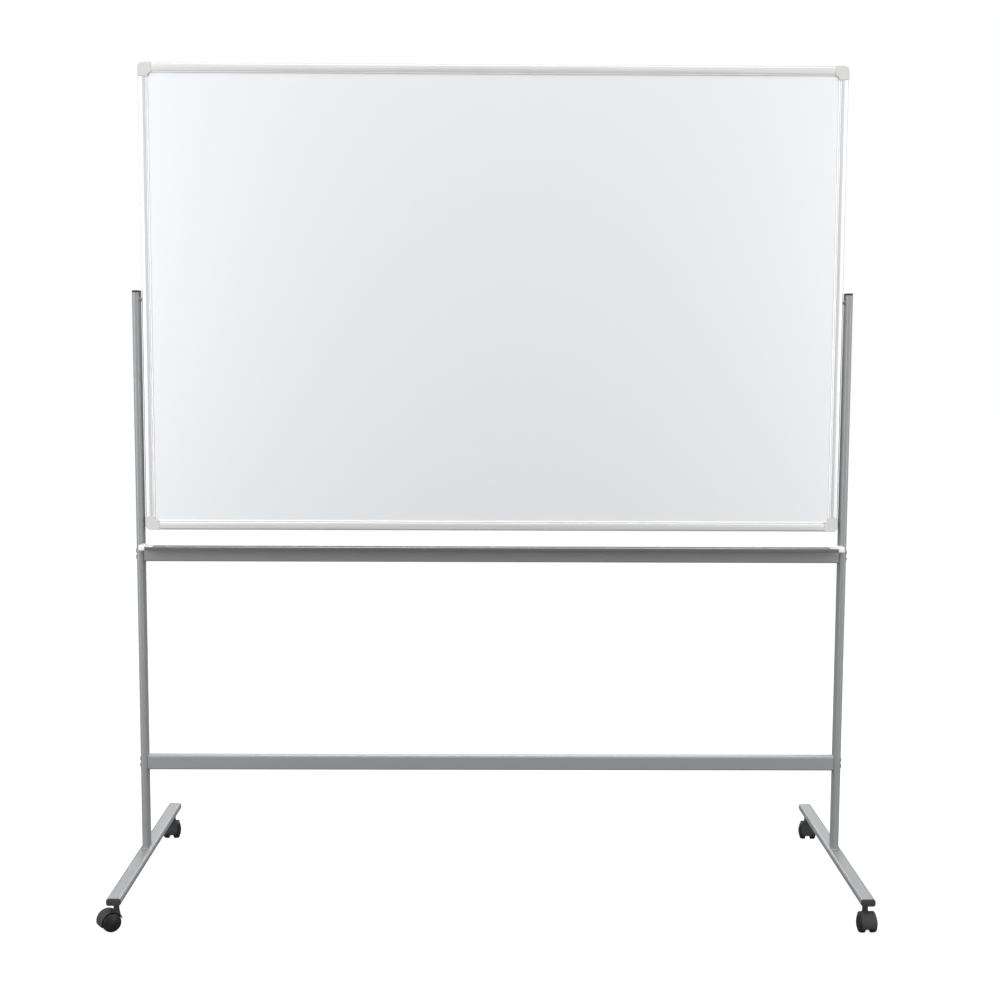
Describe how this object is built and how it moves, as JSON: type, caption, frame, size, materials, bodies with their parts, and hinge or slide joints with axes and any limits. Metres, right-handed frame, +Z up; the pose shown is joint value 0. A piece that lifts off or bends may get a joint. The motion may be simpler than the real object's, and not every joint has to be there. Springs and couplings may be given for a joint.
{
  "type": "rolling reversible whiteboard",
  "caption": "Framed whiteboard hung on two side pins between wheeled T-leg posts, with cross tubes and a pen tray below.",
  "frame": {"origin": "on the floor, midway between the two legs and midway along the feet", "axes": "+X to the right as seen from the tray side, -Y towards the viewer and the tray, +Z up"},
  "size_m": [1.6123, 0.6935, 1.8001],
  "materials": {
    "grey_paint": "satin powder coat",
    "satin_aluminium": "satin anodised",
    "white_enamel": "gloss white writing surface",
    "core_board": "raw fibreboard",
    "grey_plastic": "satin moulded",
    "white_plastic": "semi-gloss moulded",
    "black_plastic": "fine texture",
    "steel": "zinc plated",
    "dark_steel": "dark plated"
  },
  "bodies": {
    "stand": {"left_post": "grey_paint", "left_foot_rail": "grey_paint", "left_post_weld": "grey_paint", "left_pivot_bushing": "black_plastic", "left_crossbar_bolts": "dark_steel", "left_tray_end_cap": "white_plastic", "right_post": "grey_paint", "right_foot_rail": "grey_paint", "right_post_weld": "grey_paint", "right_pivot_bushing": "black_plastic", "right_crossbar_bolts": "dark_steel", "right_tray_end_cap": "white_plastic", "lower_crossbar": "grey_paint", "lower_crossbar_inserts": "black_plastic", "upper_crossbar": "grey_paint", "upper_crossbar_inserts": "black_plastic", "pen_tray": "satin_aluminium", "tray_screws": "steel", "front_left_foot_plug": "black_plastic", "front_left_caster_socket": "black_plastic", "front_right_foot_plug": "black_plastic", "front_right_caster_socket": "black_plastic", "rear_left_foot_plug": "black_plastic", "rear_left_caster_socket": "black_plastic", "rear_right_foot_plug": "black_plastic", "rear_right_caster_socket": "black_plastic"},
    "board": {"board_core": "core_board", "front_writing_sheet": "white_enamel", "rear_writing_sheet": "white_enamel", "top_frame_rail": "satin_aluminium", "bottom_frame_rail": "satin_aluminium", "left_frame_rail": "satin_aluminium", "right_frame_rail": "satin_aluminium", "top_left_corner_cap": "grey_plastic", "top_right_corner_cap": "grey_plastic", "bottom_left_corner_cap": "grey_plastic", "bottom_right_corner_cap": "grey_plastic", "left_pivot_pin": "steel", "right_pivot_pin": "steel"},
    "front_left_caster": {"front_left_caster_body": "black_plastic", "front_left_caster_stem": "steel", "front_left_caster_axle": "steel"},
    "front_left_left_wheel": {"front_left_caster_left_wheel": "black_plastic"},
    "front_left_right_wheel": {"front_left_caster_right_wheel": "black_plastic"},
    "front_right_caster": {"front_right_caster_body": "black_plastic", "front_right_caster_stem": "steel", "front_right_caster_axle": "steel"},
    "front_right_left_wheel": {"front_right_caster_left_wheel": "black_plastic"},
    "front_right_right_wheel": {"front_right_caster_right_wheel": "black_plastic"},
    "rear_left_caster": {"rear_left_caster_body": "black_plastic", "rear_left_caster_stem": "steel", "rear_left_caster_axle": "steel"},
    "rear_left_left_wheel": {"rear_left_caster_left_wheel": "black_plastic"},
    "rear_left_right_wheel": {"rear_left_caster_right_wheel": "black_plastic"},
    "rear_right_caster": {"rear_right_caster_body": "black_plastic", "rear_right_caster_stem": "steel", "rear_right_caster_axle": "steel"},
    "rear_right_left_wheel": {"rear_right_caster_left_wheel": "black_plastic"},
    "rear_right_right_wheel": {"rear_right_caster_right_wheel": "black_plastic"}
  },
  "joints": [
    {"name": "board_flip", "type": "hinge", "parent": "stand", "child": "board", "pos_m": [0, 0, 1.2965], "axis": [1, 0, 0], "continuous": true},
    {"name": "front_left_swivel", "type": "hinge", "parent": "stand", "child": "front_left_caster", "pos_m": [-0.7745, -0.312, 0.052], "axis": [0, 0, 1], "continuous": true},
    {"name": "front_left_left_spin", "type": "hinge", "parent": "front_left_caster", "child": "front_left_left_wheel", "pos_m": [-0.78708, -0.32017, 0.02], "axis": [0.5446, -0.8387, 0], "continuous": true},
    {"name": "front_left_right_spin", "type": "hinge", "parent": "front_left_caster", "child": "front_left_right_wheel", "pos_m": [-0.78708, -0.32017, 0.02], "axis": [0.5446, -0.8387, 0], "continuous": true},
    {"name": "front_right_swivel", "type": "hinge", "parent": "stand", "child": "front_right_caster", "pos_m": [0.7745, -0.312, 0.052], "axis": [0, 0, 1], "continuous": true},
    {"name": "front_right_left_spin", "type": "hinge", "parent": "front_right_caster", "child": "front_right_left_wheel", "pos_m": [0.77529, -0.32698, 0.02], "axis": [0.9986, 0.0523, 0], "continuous": true},
    {"name": "front_right_right_spin", "type": "hinge", "parent": "front_right_caster", "child": "front_right_right_wheel", "pos_m": [0.77529, -0.32698, 0.02], "axis": [0.9986, 0.0523, 0], "continuous": true},
    {"name": "rear_left_swivel", "type": "hinge", "parent": "stand", "child": "rear_left_caster", "pos_m": [-0.7745, 0.312, 0.052], "axis": [0, 0, 1], "continuous": true},
    {"name": "rear_left_left_spin", "type": "hinge", "parent": "rear_left_caster", "child": "rear_left_left_wheel", "pos_m": [-0.77476, 0.297, 0.02], "axis": [0.9998, -0.0175, 0], "continuous": true},
    {"name": "rear_left_right_spin", "type": "hinge", "parent": "rear_left_caster", "child": "rear_left_right_wheel", "pos_m": [-0.77476, 0.297, 0.02], "axis": [0.9998, -0.0175, 0], "continuous": true},
    {"name": "rear_right_swivel", "type": "hinge", "parent": "stand", "child": "rear_right_caster", "pos_m": [0.7745, 0.312, 0.052], "axis": [0, 0, 1], "continuous": true},
    {"name": "rear_right_left_spin", "type": "hinge", "parent": "rear_right_caster", "child": "rear_right_left_wheel", "pos_m": [0.77345, 0.29704, 0.02], "axis": [0.9976, -0.0698, 0], "continuous": true},
    {"name": "rear_right_right_spin", "type": "hinge", "parent": "rear_right_caster", "child": "rear_right_right_wheel", "pos_m": [0.77345, 0.29704, 0.02], "axis": [0.9976, -0.0698, 0], "continuous": true}
  ]
}
